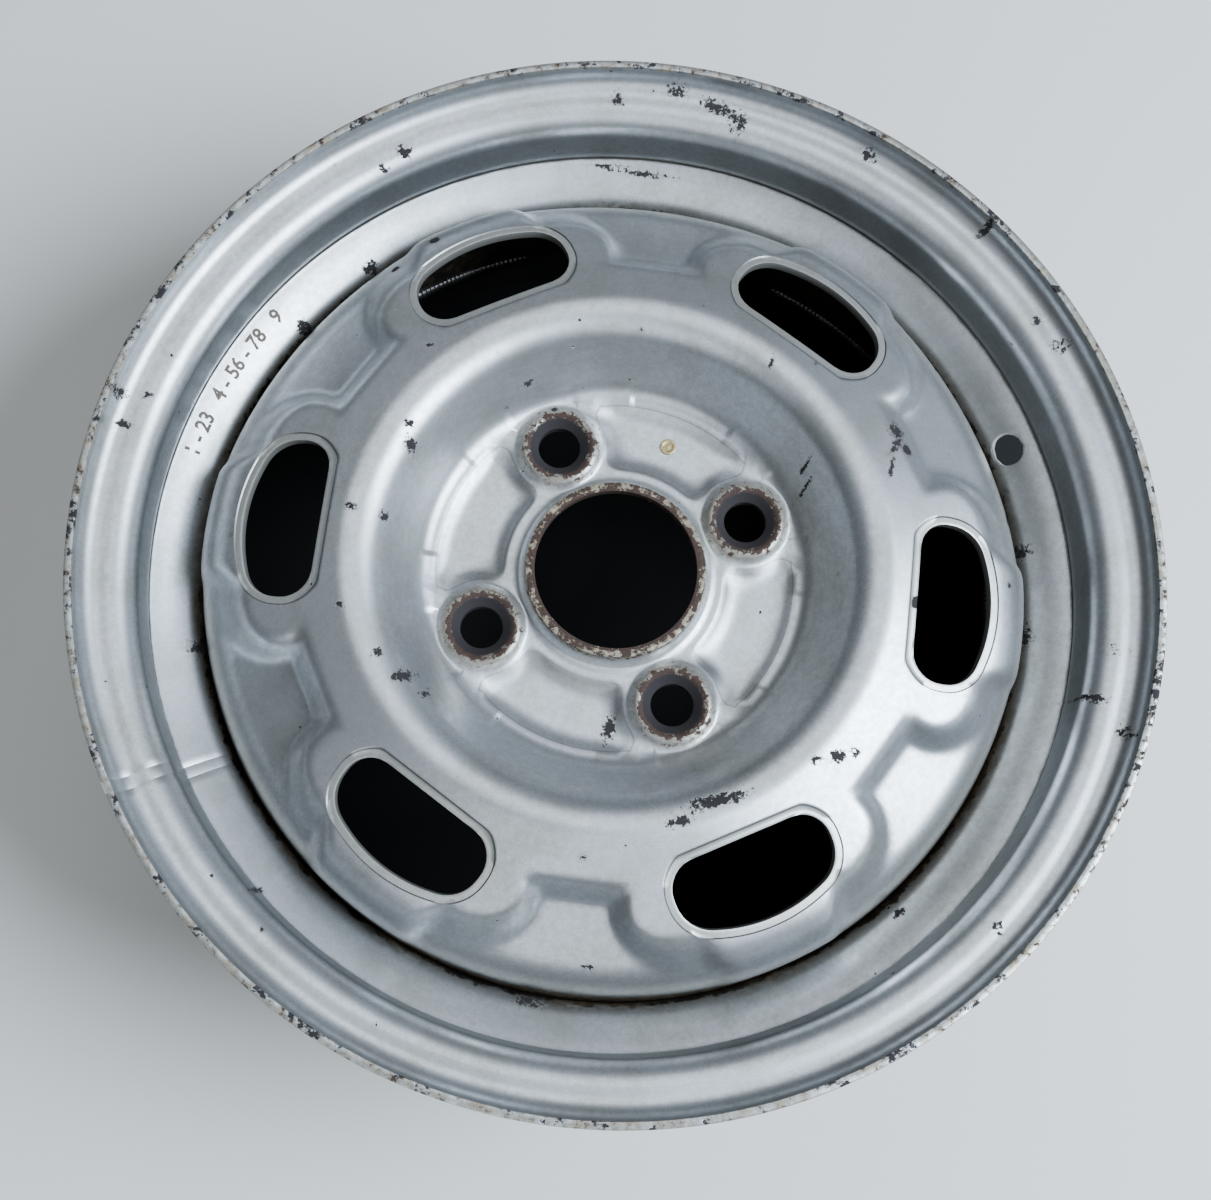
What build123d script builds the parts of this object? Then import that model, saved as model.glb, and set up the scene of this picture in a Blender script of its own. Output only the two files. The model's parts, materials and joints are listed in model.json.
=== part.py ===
"""Pressed-steel road wheel, 5 in J by 13 in, made of a rolled hoop and a pressed disc.

Frame: origin on the wheel's axis in the plane of the hub mounting pads, +Z outboard,
+X through the bolt hole nearest the valve hole.  Millimetres and degrees.
"""
from build123d import *
from math import cos, radians, sin, tan
import os

# Rim hoop: standard 13 in J contour, rolled from sheet
SHEET = 2.6                  # hoop sheet thickness
FLANGE_R = 182.0             # outside radius of both flanges
SEAT_R = 164.7               # bead seat radius at the flange face
SEAT_TAPER = 5.0             # bead seat taper
HALF_WIDTH = 63.5            # half of 5 in between the flange faces
FLANGE_LIP = 11.5            # how far a flange's edge stands out from its face
EDGE_RADIUS = 0.5            # rounding of the hoop's cut edges
LIP_RADIUS = 9.5             # flange curl, tyre side
SEAT_RADIUS = 6.5            # corner between flange face and bead seat
WELL_R = 147.4               # well radius, tyre side
OFFSET = 40.0                # mounting pads to the rim's centre plane
HUMP_START = 47.0            # from the centre plane, where the seat turns up into the hump
HUMP_PEAK = (41.0, 164.9)    # sharp corner under the rounded hump: centre plane distance, radius
WELL_OUT = 31.4              # outboard corner of the well
WELL_IN = -8.0               # inboard corner of the well
SLOPE_IN = -40.0             # inboard end of the long slope

# Valve hole and the hoop's butt weld
VALVE_ANGLE = -3.6
VALVE_HOLE_R = 5.75
VALVE_RADIUS = 153.6         # distance of the hole's tyre-side mouth from the axis
SEAM_ANGLE = 183.0
SEAM_WIDTH = 3.2

# Wheel disc
DISC_SHEET = 3.0
BORE_R = 28.05
COLLAR_R = 30.9              # outside of the turned-up collar round the bore
COLLAR_TOP = 12.6
COLLAR_EDGE = 0.8
COLLAR_RADIUS = 5.0          # sweep of the plate up into the collar
PLATE_TOP = 5.2              # outboard face of the hub plate
PLATE_R = 66.5               # foot of the bowl wall
CROWN = (84.5, 31.9)         # sharp corner over the rounded crown: radius, height
SHOULDER = (143.3, 15.8)     # sharp corner over the rounded shoulder
FLANGE_FIT = 0.05            # gap between the disc's flange and the well
FLANGE_TOP = -14.0           # where the flange becomes a cylinder
FLANGE_END = -32.0           # inboard edge of the flange
FOOT_RADIUS = 8.0
CROWN_RADIUS = 14.0
SHOULDER_RADIUS = 20.0
KICK_RADIUS = 5.0            # where the wall turns down into the flange

# Six flat panels between the vents
PANELS = 6
PANEL_START = (111.0, 17.3)  # inner end of a panel: distance from the axis, height
PANEL_SLOPE = 20.0
PANEL_HALF_IN = 9.5          # half width at the inner end
PANEL_HALF_OUT = 44.0        # half width at the tool's outer end, past the shoulder
PANEL_LENGTH = 48.0
PANEL_WALL = 40.0            # how far the panel's side walls lean back
PANEL_CORNER = 5.0
PANEL_HEIGHT = 30.0          # tall enough to clear the crown

# Six vents
VENT_IN = 100.9              # straight inner side
VENT_OUT = 127.9             # middle of the curved outer side
VENT_HALF = 27.8
VENT_ARC = 53.0              # radius of the outer side
VENT_CORNER_IN = 9.0
VENT_CORNER_OUT = 12.0

# Four wheel-bolt seats and the four pads between them
BOLTS = 4
BOLT_CIRCLE_R = 50.0
BOLT_HOLE_R = 7.4
SEAT_TOP_R = 11.2            # mouth of the conical seat
BOSS_R = 15.8
BOSS_TOP_R = 12.9
BOSS_TOP = 7.8
SEAT_CONE_END = 4.8
PAD_IN = 38.5
PAD_OUT = 62.5
PAD_DEPTH = 2.2
PAD_CLEAR = 19.0             # distance kept from each bolt
PAD_CORNER = 4.0
PAD_GROW = 0.8               # how much wider the pad is than the hollow above it

# Arc-weld beads joining the disc's flange to the well
WELDS = 6
WELD_SPAN = 22.0             # degrees of arc
WELD_LEG = 4.5


def ring_places(count, start=0.0):
    """Rotations about the wheel's axis, evenly spaced."""
    return [Rot(0, 0, start + step * 360.0 / count) for step in range(count)]


def revolved(section):
    """Full turn of an XZ section about the wheel's axis."""
    return revolve(section, Axis.Z, 360)


def hoop_line():
    """Tyre side of the hoop, outboard edge to inboard edge, as radius and height."""
    out_face = HALF_WIDTH - OFFSET
    in_face = -HALF_WIDTH - OFFSET
    hump_foot_r = SEAT_R - (HALF_WIDTH - HUMP_START) * tan(radians(SEAT_TAPER))
    slope_top_r = SEAT_R - (HALF_WIDTH + SLOPE_IN) * tan(radians(SEAT_TAPER))
    corners = [
        (FLANGE_R, out_face + FLANGE_LIP),
        (FLANGE_R, out_face),
        (SEAT_R, out_face),
        (hump_foot_r, HUMP_START - OFFSET),
        (HUMP_PEAK[1], HUMP_PEAK[0] - OFFSET),
        (WELL_R, WELL_OUT - OFFSET),
        (WELL_R, WELL_IN - OFFSET),
        (slope_top_r, SLOPE_IN - OFFSET),
        (SEAT_R, in_face),
        (FLANGE_R, in_face),
        (FLANGE_R, in_face - FLANGE_LIP),
    ]
    radii = [LIP_RADIUS, SEAT_RADIUS, 5.0, 3.6, 8.0, 12.0, 14.0, SEAT_RADIUS, LIP_RADIUS]
    return FilletPolyline(*[(r, 0, z) for r, z in corners], radius=radii)


def hoop_section():
    """The sheet's section: the tyre side and its offset towards the axis, closed at both edges."""
    tyre_side = hoop_line()
    air_side = Wire(tyre_side.edges()).offset_2d(SHEET, kind=Kind.ARC, side=Side.RIGHT, closed=False)
    ends = sorted([air_side @ 0, air_side @ 1], key=lambda point: -point.Z)
    caps = [Line(tyre_side @ 0, ends[0]), Line(tyre_side @ 1, ends[1])]
    section = make_face(tyre_side.edges() + air_side.edges() + caps)
    edge_corners = [v for v in section.vertices() if abs(v.Z + OFFSET) > HALF_WIDTH + FLANGE_LIP - 0.01]
    return fillet(edge_corners, EDGE_RADIUS)


def sector(angle, half_width, height=400.0):
    """Wedge that holds the weld's slice of the hoop: parallel faces either side of one radius."""
    return Rot(0, 0, angle) * Pos(165.0, 0, -OFFSET) * Box(80.0, 2 * half_width, height)


def valve_place():
    """Middle of the valve hole on the outboard slope, Z along the hole towards the outside."""
    slope = Vector(HUMP_PEAK[1] - WELL_R, 0, HUMP_PEAK[0] - WELL_OUT).normalized()
    normal = Vector(-slope.Z, 0, slope.X)
    share = (VALVE_RADIUS - WELL_R) / (HUMP_PEAK[1] - WELL_R)
    height = WELL_OUT + share * (HUMP_PEAK[0] - WELL_OUT) - OFFSET
    middle = Vector(VALVE_RADIUS, 0, height) + normal * (SHEET / 2)
    return Rot(0, 0, VALVE_ANGLE) * Plane(origin=middle, x_dir=(0, 1, 0), z_dir=normal).location


def rim_pieces():
    """The hoop, open at its joint, and the strip of weld metal that closes it."""
    whole = revolved(hoop_section())
    weld_slice = sector(SEAM_ANGLE, SEAM_WIDTH / 2)
    hole = valve_place() * Cylinder(VALVE_HOLE_R, 20.0)
    return whole - weld_slice - hole, whole & weld_slice


def under_corner(corner, before, after):
    """Corner of the sheet's lower face below a corner of its upper face, all given as (r, z)."""
    turn_in = (Vector(*corner) - Vector(*before)).normalized()
    turn_out = (Vector(*after) - Vector(*corner)).normalized()
    half_turn = turn_in.cross(turn_out).Z / (1.0 + turn_in.dot(turn_out))
    below = Vector(*corner) + (Vector(turn_in.Y, -turn_in.X) + turn_in * half_turn) * DISC_SHEET
    return below.X, below.Y


def dish_lines():
    """Corners of the sheet's upper and lower faces, from the hub plate to the flange edge."""
    flange_r = WELL_R - SHEET - FLANGE_FIT
    upper = [(COLLAR_R, PLATE_TOP), (PLATE_R, PLATE_TOP), CROWN, SHOULDER]
    upper += [(flange_r, FLANGE_TOP), (flange_r, FLANGE_END)]
    turns = [under_corner(upper[i], upper[i - 1], upper[i + 1]) for i in range(1, 5)]
    lower = [(0, PLATE_TOP - DISC_SHEET), *turns, (flange_r - DISC_SHEET, FLANGE_END)]
    return upper, lower


def dish(corners, radii):
    """Solid of everything below one face of the sheet, down to the flange edge."""
    line = FilletPolyline(*[(r, 0, z) for r, z in corners], radius=radii)
    start_r, start_z = corners[0]
    base = Polyline((corners[-1][0], 0, FLANGE_END), (start_r, 0, FLANGE_END), (start_r, 0, start_z))
    return revolved(make_face(line.edges() + base.edges()))


def dished_solids():
    """The solid under the sheet's upper face, collar and bore included, and the one under its lower face."""
    upper, lower = dish_lines()
    upper = [(BORE_R, COLLAR_TOP), (COLLAR_R, COLLAR_TOP), *upper]
    upper_radii = [COLLAR_EDGE, COLLAR_RADIUS, FOOT_RADIUS, CROWN_RADIUS, SHOULDER_RADIUS, KICK_RADIUS]
    lower_radii = [FOOT_RADIUS + DISC_SHEET, CROWN_RADIUS - DISC_SHEET]
    lower_radii += [SHOULDER_RADIUS - DISC_SHEET, KICK_RADIUS]
    return dish(upper, upper_radii), dish(lower, lower_radii)


def panel_tool(under):
    """Wedge above one flat panel: a flared outline in the panel's plane, its side walls leaning back."""
    down = DISC_SHEET if under else 0.0
    slope = radians(PANEL_SLOPE)
    upwards = Vector(sin(slope), 0, cos(slope))
    corner = Vector(PANEL_START[0], 0, PANEL_START[1]) - upwards * down
    plane = Plane(origin=corner, x_dir=(cos(slope), 0, -sin(slope)), z_dir=upwards)
    grow = down * tan(radians((90.0 - PANEL_WALL) / 2))
    outline = Polyline(
        (-grow, PANEL_HALF_IN + grow),
        (PANEL_LENGTH, PANEL_HALF_OUT + grow),
        (PANEL_LENGTH, -PANEL_HALF_OUT - grow),
        (-grow, -PANEL_HALF_IN - grow),
        close=True,
    )
    face = make_face(outline)
    face = fillet(face.vertices().sort_by(Axis.X)[:2], PANEL_CORNER + grow)
    return extrude(plane * face, PANEL_HEIGHT, taper=-PANEL_WALL)


def vent_tool():
    """Through-cut of one vent: straight inner side, curved outer side, rounded corners."""
    middle = (VENT_IN + VENT_OUT) / 2
    block = Pos(middle, 0) * Rectangle(VENT_OUT - VENT_IN, 2 * VENT_HALF)
    outline = block & Pos(VENT_OUT - VENT_ARC, 0) * Circle(VENT_ARC)
    outline = fillet(outline.vertices().sort_by(Axis.X)[:2], VENT_CORNER_IN)
    outer = [v for v in outline.vertices() if abs(abs(v.Y) - VENT_HALF) < 0.01 and v.X > middle]
    return extrude(fillet(outer, VENT_CORNER_OUT), CROWN[1] + 5.0)


def pad_outline(grow):
    """Kidney between two bolts: a slice of a ring with the bolts' surroundings taken out."""
    ring = Circle(PAD_OUT + grow) - Circle(PAD_IN - grow)
    kidney = ring & Pos(PAD_OUT, PAD_OUT) * Rectangle(2 * PAD_OUT, 2 * PAD_OUT)
    for place in ring_places(BOLTS):
        kidney -= place * Pos(BOLT_CIRCLE_R, 0) * Circle(PAD_CLEAR - grow)
    return fillet(kidney.vertices(), PAD_CORNER)


def press_pads(disc):
    """Push the four kidney pads down until their lower faces are the mounting plane, z = 0."""
    hollow = Pos(0, 0, DISC_SHEET) * extrude(pad_outline(0.0), PAD_DEPTH + 1.0)
    pad = extrude(pad_outline(PAD_GROW), DISC_SHEET)
    for place in ring_places(BOLTS):
        disc += place * pad
        disc -= place * hollow
    return disc


def form_bolt_seats(disc):
    """Raise a boss at each bolt, then cut its conical seat and its hole."""
    rise = BOSS_TOP - DISC_SHEET
    cone_depth = BOSS_TOP - SEAT_CONE_END
    for place in ring_places(BOLTS):
        spot = place * Pos(BOLT_CIRCLE_R, 0, 0)
        disc += spot * Pos(0, 0, DISC_SHEET + rise / 2) * Cone(BOSS_R, BOSS_TOP_R, rise)
        disc -= spot * Pos(0, 0, SEAT_CONE_END + cone_depth / 2) * Cone(BOLT_HOLE_R, SEAT_TOP_R, cone_depth)
        disc -= spot * Cylinder(BOLT_HOLE_R, 4 * BOSS_TOP)
    return disc


def wheel_disc():
    """The pressed disc: dished sheet, panels, vents, bore collar, pads and bolt seats."""
    upper, lower = dished_solids()
    for place in ring_places(PANELS):
        upper -= place * panel_tool(under=False)
        lower -= place * panel_tool(under=True)
    disc = upper - lower
    for place in ring_places(PANELS, start=30.0):
        disc -= place * vent_tool()
    return form_bolt_seats(press_pads(disc))


def weld_bead(index):
    """One fillet-weld bead in the corner between the disc's flange edge and the well."""
    well = WELL_R - SHEET
    section = make_face(
        [
            Line((well, 0, FLANGE_END), (well, 0, FLANGE_END - WELD_LEG)),
            ThreePointArc(
                (well, 0, FLANGE_END - WELD_LEG),
                (well - WELD_LEG * 0.62, 0, FLANGE_END - WELD_LEG * 0.62),
                (well - WELD_LEG, 0, FLANGE_END),
            ),
            Line((well - WELD_LEG, 0, FLANGE_END), (well, 0, FLANGE_END)),
        ]
    )
    start = index * 360.0 / WELDS + 30.0 - WELD_SPAN / 2
    return Rot(0, 0, start) * revolve(section, Axis.Z, WELD_SPAN)


def write_parts():
    """One STEP file for each piece."""
    os.makedirs("parts", exist_ok=True)
    hoop, seam = rim_pieces()
    pieces = {"rim_hoop": hoop, "rim_seam_weld": seam, "wheel_disc": wheel_disc()}
    pieces.update({f"disc_weld_{index + 1}": weld_bead(index) for index in range(WELDS)})
    for name, piece in pieces.items():
        export_step(piece, f"parts/{name}.step")
        print(name, round(piece.volume), "mm3")


write_parts()
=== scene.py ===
# %% [markdown]
# # A weathered pressed-steel road wheel
#
# The wheel is two pressings and some weld metal: a rolled hoop that holds the tyre, and a dished disc that
# bolts to the hub. This lesson builds each visible piece as a surface worked out with numpy, gives it a
# thickness, and paints it with procedural silver paint, chips and rust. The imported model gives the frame:
# its nodes say where every piece is, and the lesson's pieces stand exactly there.

# %% Load the frame
import json
import math

import bpy
import mathutils
import numpy as np
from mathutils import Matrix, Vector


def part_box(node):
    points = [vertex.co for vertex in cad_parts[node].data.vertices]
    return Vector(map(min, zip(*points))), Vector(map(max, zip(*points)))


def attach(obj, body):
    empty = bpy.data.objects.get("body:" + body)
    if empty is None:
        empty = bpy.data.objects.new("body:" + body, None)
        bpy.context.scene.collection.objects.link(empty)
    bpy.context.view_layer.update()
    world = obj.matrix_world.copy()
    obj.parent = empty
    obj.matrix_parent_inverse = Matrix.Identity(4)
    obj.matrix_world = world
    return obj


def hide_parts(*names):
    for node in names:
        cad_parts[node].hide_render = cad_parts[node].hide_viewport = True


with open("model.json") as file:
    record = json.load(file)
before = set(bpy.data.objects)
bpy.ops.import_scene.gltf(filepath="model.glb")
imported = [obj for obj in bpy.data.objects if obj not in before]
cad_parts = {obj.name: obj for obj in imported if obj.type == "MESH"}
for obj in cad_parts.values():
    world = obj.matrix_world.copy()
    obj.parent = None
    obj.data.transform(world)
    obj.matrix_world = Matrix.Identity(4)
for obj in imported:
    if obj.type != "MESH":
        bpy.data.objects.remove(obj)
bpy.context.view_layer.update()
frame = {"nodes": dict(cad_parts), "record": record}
MM = 0.001
TURN = 2 * math.pi
print("nodes:", sorted(frame["nodes"]))

# %% [markdown]
# ## Profiles with rounded corners
#
# A pressing's section is drawn the way a toolmaker draws it: straight lines, and a radius at every corner.
# One helper turns corners and radii into a smooth run of points, so that the hoop and the disc share it.

# %% A rounded profile
def rounded_line(corners, radii, step=0.25):
    """Points along a line of corners whose inner corners are arcs.

    An arc of radius R at a corner starts and ends R * tan(turn / 2) from it, and its points lie on the
    circle about the centre that both straight lines touch.
    """
    corners = [np.array(c, float) for c in corners]
    points = [corners[0]]
    for before, corner, after, radius in zip(corners, corners[1:], corners[2:], radii):
        d_in = (corner - before) / np.linalg.norm(corner - before)
        d_out = (after - corner) / np.linalg.norm(after - corner)
        cross = d_in[0] * d_out[1] - d_in[1] * d_out[0]
        turn = math.atan2(cross, float(d_in @ d_out))
        reach = radius * math.tan(abs(turn) / 2)
        side = math.copysign(1.0, turn)
        centre = corner - d_in * reach + side * radius * np.array([-d_in[1], d_in[0]])
        count = max(3, int(abs(turn) * radius / step) + 2)
        sweep = np.linspace(0, turn, count)[:, None]
        arm = corner - d_in * reach - centre
        arc = centre + np.hstack([arm[0] * np.cos(sweep) - arm[1] * np.sin(sweep),
                                  arm[0] * np.sin(sweep) + arm[1] * np.cos(sweep)])
        points.extend(arc)
    points.append(corners[-1])
    return np.array(points)


def resample(line, marks):
    """Points of a polyline at given distances along it."""
    run = np.concatenate([[0], np.cumsum(np.linalg.norm(np.diff(line, axis=0), axis=1))])
    return np.stack([np.interp(marks, run, line[:, 0]), np.interp(marks, run, line[:, 1])], 1), run[-1]


def smoothstep(low, high, x):
    """0 below low, 1 above high, and 3t^2 - 2t^3 between them."""
    t = np.clip((x - low) / (high - low), 0, 1)
    return t * t * (3 - 2 * t)


def soft_min(a, b, width):
    """The smaller of two values, with a rounded change from one to the other."""
    blend = np.clip(0.5 + 0.5 * (b - a) / width, 0, 1)
    return b * (1 - blend) + a * blend - width * blend * (1 - blend)

# %% [markdown]
# ## From a grid to sheet metal
#
# Every pressing here starts as one layer: a grid of points, rows along the section and columns round the
# axis. Faces inside an opening are left out, and the opening's border points stand exactly on its outline.
# Solidify then gives the layer the real sheet thickness, and a small bevel takes the edge off, as the shear
# and the paint do. The result is made a plain mesh, so that sharp corners can be marked by their angle.

# %% Grid to sheet
def grid_quads(rows, cols, closed, inside_out=False):
    """Corner numbers of the quads of a grid, and the row and column of each."""
    i, j = np.meshgrid(np.arange(rows - 1), np.arange(cols if closed else cols - 1), indexing="ij")
    i, j = i.ravel(), j.ravel()
    nxt = (j + 1) % cols
    quads = np.stack([i * cols + j, (i + 1) * cols + j, (i + 1) * cols + nxt, i * cols + nxt], -1)
    return (quads[:, ::-1] if inside_out else quads), i, j


def new_mesh(name, points, quads, attributes=()):
    """A mesh of the points that the quads use, in metres, with per-point values as named attributes."""
    used, quads = np.unique(quads, return_inverse=True)
    quads = quads.reshape(-1, 4)
    mesh = bpy.data.meshes.new(name)
    mesh.vertices.add(len(used))
    mesh.vertices.foreach_set("co", (points[used] * MM).astype(np.float32).ravel())
    mesh.loops.add(quads.size)
    mesh.loops.foreach_set("vertex_index", quads.astype(np.int32).ravel())
    mesh.polygons.add(len(quads))
    mesh.polygons.foreach_set("loop_start", np.arange(0, quads.size, 4, dtype=np.int32))
    mesh.polygons.foreach_set("loop_total", np.full(len(quads), 4, np.int32))
    mesh.update(calc_edges=True)
    mesh.validate()
    for key, values in dict(attributes).items():
        layer = mesh.attributes.new(key, "FLOAT", "POINT")
        layer.data.foreach_set("value", np.asarray(values, np.float32).ravel()[used])
    obj = bpy.data.objects.new(name, mesh)
    bpy.context.scene.collection.objects.link(obj)
    return obj


def finish_sheet(obj, thickness=0.0, bevel=0.0, sharp=38.0):
    """Thickness, rounded edges, then a plain mesh with its sharp edges marked."""
    if thickness:
        solid = obj.modifiers.new("sheet", "SOLIDIFY")
        solid.thickness = thickness * MM
        solid.offset = -1.0
        solid.use_even_offset = True
        solid.use_quality_normals = True
    if bevel:
        edge = obj.modifiers.new("edge", "BEVEL")
        edge.width = bevel * MM
        edge.segments = 2
        edge.limit_method = "ANGLE"
        edge.angle_limit = math.radians(55)
    graph = bpy.context.evaluated_depsgraph_get()
    plain = bpy.data.meshes.new_from_object(obj.evaluated_get(graph))
    obj.modifiers.clear()
    obj.data = plain
    plain.name = obj.name
    plain.polygons.foreach_set("use_smooth", np.ones(len(plain.polygons), bool))
    plain.set_sharp_from_angle(angle=math.radians(sharp))
    plain.update()
    triangles = sum(len(p.vertices) - 2 for p in plain.polygons)
    print(f"{obj.name}: {len(plain.vertices)} points, {triangles} triangles")
    return obj


# %% [markdown]
# ## The disc's section
#
# The disc begins as one dished profile turned about the axis: the collar round the bore, the hub plate, the
# bowl wall, the crown, the dome that carries the vents, the shoulder and the flange that goes into the hoop.

# %% The dished profile
COLUMNS = 420
DISC_SHEET = 3.0
COLLAR_R, COLLAR_TOP = 31.05, 12.6
PLATE_Z = 5.2
FLANGE_R = round(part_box("wheel_disc")[1].x / MM, 2)
FLANGE_END = round(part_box("wheel_disc")[0].z / MM, 2)
disc_line = rounded_line(
    [(COLLAR_R, COLLAR_TOP), (COLLAR_R, PLATE_Z), (66.5, PLATE_Z), (84.5, 31.9), (143.3, 15.8),
     (FLANGE_R, -14.0), (FLANGE_R, FLANGE_END)],
    [5.0, 8.0, 14.0, 20.0, 5.0])
PLATE_START, SHOULDER_R = 33.6, 143.6
BOLT_R, VENT_R = 50.0, 111.3

collar_part = disc_line[disc_line[:, 0] <= PLATE_START]
collar_marks = np.linspace(0, 1, 8)[:-1]
collar_rows, _ = resample(collar_part, collar_marks * 9.0)
shoulder_rows = 137.0 + (SHOULDER_R - 137.0) * np.sin(np.linspace(0, 1, 9)[1:] * math.pi / 2)
disc_radii = np.concatenate([
    collar_rows[:, 0],
    np.linspace(PLATE_START, 66.4, 29),
    np.linspace(66.4, 92.0, 20)[1:],
    np.linspace(92.0, 137.0, 41)[1:],
    shoulder_rows])
FIRST_PLATE = len(collar_rows)
FIRST_VENT = FIRST_PLATE + 28 + 19
WALL_ROWS = 8
print("disc section:", len(disc_radii) + WALL_ROWS, "rows, crown at", disc_line[:, 1].max().round(2), "mm")

# %% [markdown]
# ## Openings that keep their outline
#
# A hole in a grid has a ragged border unless the grid bends round it. Here the rings of cells about each
# opening are moved: the innermost stands on the outline, the next few follow it at fixed distances, which
# gives the pressed border its crisp steps, and the rest spread out evenly to meet the ordinary grid.

# %% Rings about an opening
def ring_block(halves, hole, flat_place, outline, steps):
    """Places for one block of grid points, on rings about the opening in its middle.

    halves are the block's half rows and columns, hole the opening's. A point's ring and its share of the way
    round it come from its row and column. The same share of the block's border gives its direction from the
    opening's centre, and along that direction it stands at the outline plus the ring's step, or evenly
    between the last step and the border. flat_place gives a border point's place in the flat.
    """
    di, dj = np.meshgrid(*(np.arange(-half, half + 1) for half in halves), indexing="ij")
    ring = np.maximum(np.maximum(np.abs(di) - hole[0], np.abs(dj) - hole[1]), 0)
    x, y = flat_place(di / (hole[0] + ring) * halves[0], dj / (hole[1] + ring) * halves[1])
    theta, far = np.arctan2(y, x), np.hypot(x, y)
    edge = outline(theta)
    slant = np.hypot(1, (outline(theta + 1e-3) - outline(theta - 1e-3)) / 2e-3 / edge)
    fixed = np.asarray(steps)
    last = len(fixed) - 1
    rest = np.clip((ring - last) / (halves[0] - hole[0] - last), 0, 1)
    out = np.where(ring <= last, fixed[np.minimum(ring, last)] * slant,
                   fixed[last] * slant * (1 - rest) + (far - edge) * rest)
    gap = np.where(ring <= last, fixed[np.minimum(ring, last)], out / slant)
    inside = (di < hole[0]) & (di >= -hole[0]) & (dj < hole[1]) & (dj >= -hole[1])
    return di, dj, (edge + out) * np.cos(theta), (edge + out) * np.sin(theta), gap, inside


vent_half = rounded_line(
    [(100.9, 0.0), (100.9, 27.8), (121.18, 27.8), (127.9, 9.345), (127.9, 0.0)], [10.0, 12.5, 53.0])
vent_half, _ = resample(vent_half[::-1] - (VENT_R, 0.0), np.arange(0.0, 70.0, 0.15))


def vent_outline(theta):
    """Distance from the vent's centre to its edge, read from the half outline, the same on both halves."""
    return np.interp(np.abs(np.arctan2(np.sin(theta), np.cos(theta))),
                     np.arctan2(vent_half[:, 1], vent_half[:, 0]), np.hypot(*vent_half.T))


VENT_STEPS = (0.0, 0.9, 2.3, 2.75, 3.4)
BOLT_MOUNT, VALVE_MOUNT = 1, 3
HOLE_R = frame["record"]["mounts"][BOLT_MOUNT]["dims"]["hole_r_mm"]
HOLE_STEPS = (0.0, 0.002, 1.9, 3.7, 4.2, 5.3, 6.6, 7.8, 8.7)


def round_outline(theta):
    """A bolt hole's edge: the same distance all round."""
    return np.full(np.shape(theta), HOLE_R)


def open_disc(gap, row, reach, angle, halves, hole, outline, steps):
    """Bends the disc's grid round one opening, whose centre is on a row, at a distance and angle."""
    col = int(round(angle / TURN * COLUMNS))

    def flat_place(i, j):
        r = np.interp(row + i, np.arange(len(disc_radii)), disc_radii)
        return r * np.cos(j * TURN / COLUMNS) - reach, r * np.sin(j * TURN / COLUMNS)

    di, dj, x, y, distance, inside = ring_block(halves, hole, flat_place, outline, steps)
    at = row + di, (col + dj) % COLUMNS
    plan_r[at] = np.hypot(reach + x, y)
    plan_a[at] = angle + np.arctan2(y, reach + x)
    gap[at] = distance
    keep[at[0][inside], at[1][inside]] = False


plan_r = np.repeat(disc_radii[:, None], COLUMNS, 1)
plan_a = np.repeat(np.arange(COLUMNS)[None] * TURN / COLUMNS, len(disc_radii), 0)
vent_gap = np.full(plan_r.shape, 99.0)
hole_gap = np.full(plan_r.shape, 99.0)
keep = np.ones(plan_r.shape, bool)
for k in range(6):
    open_disc(vent_gap, FIRST_VENT + 20, VENT_R, math.radians(30 + 60 * k), (20, 26), (8, 14),
              vent_outline, VENT_STEPS)
for k in range(4):
    open_disc(hole_gap, FIRST_PLATE + 14, BOLT_R, k * math.pi / 2, (14, 26), (4, 16),
              round_outline, HOLE_STEPS)
print("openings: 6 vents and 4 bolt holes,", int((~keep).sum()), "cells left out")

# %% [markdown]
# ## What the press adds
#
# On the dished blank the dies raise and sink features: flat panels between the vents, whose walls wrap the
# vents' ends; kidney-shaped hollows between the bolts; a boss with a conical seat at each bolt; and coined
# strips along the foot of the bowl. Each is a height that depends on a distance from the feature's outline.

# %% Heights of the pressed features
def panel_height(r, a, dome):
    """Dome height with the six flat panels sunk into it.

    Within 30 degrees of a panel's middle, x runs out along it and y across. The wall's foot is straight at
    x = 113 and is elsewhere an arc about the end of the nearest vent. Above the foot the wall rises steeply
    and rounds over into the dome; outwards the panel rolls down over its own shoulder.
    """
    local = (a + math.pi / 6) % (math.pi / 3) - math.pi / 6
    x, y = r * np.cos(local), np.abs(r * np.sin(local))
    c, s = math.cos(math.pi / 6), math.sin(math.pi / 6)
    vent_x, vent_y = x * c + y * s, y * c - x * s
    beyond = np.maximum(-26.4 - vent_y, 0)
    across = (vent_x - 111.8) * smoothstep(14.0, 26.4, -vent_y)
    flank = 21.6 - np.hypot(beyond, across)
    outside = -soft_min(x - 113.0, -flank, 3.0)
    rise = (outside + np.sqrt(outside ** 2 + 0.9 ** 2)) / 2
    wall = 1 - (1 - np.clip(rise / (8.6 + 16.0 * smoothstep(119.0, 141.0, r)), 0, 1)) ** 2.3
    roll = np.clip((r - 132.5) / (SHOULDER_R + 0.05 - 132.5), 0, 1)
    flat = 17.3 - (x - 111.0) * math.tan(math.radians(20)) - 11.5 * (1 - np.sqrt(1 - roll ** 2))
    return np.minimum(dome, flat + (dome - flat) * wall)


def inside_hollow(r, a):
    """Distance inside the nearest kidney: between two arcs about the axis and clear of two bolt bosses."""
    local = a % (math.pi / 2) - math.pi / 4
    x, y = r * np.cos(local), np.abs(r * np.sin(local))
    bolt = BOLT_R * math.sqrt(0.5)
    return soft_min(soft_min(r - 38.2, 62.4 - r, 3.0), np.hypot(x - bolt, y - bolt) - 16.9, 7.0)


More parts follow.
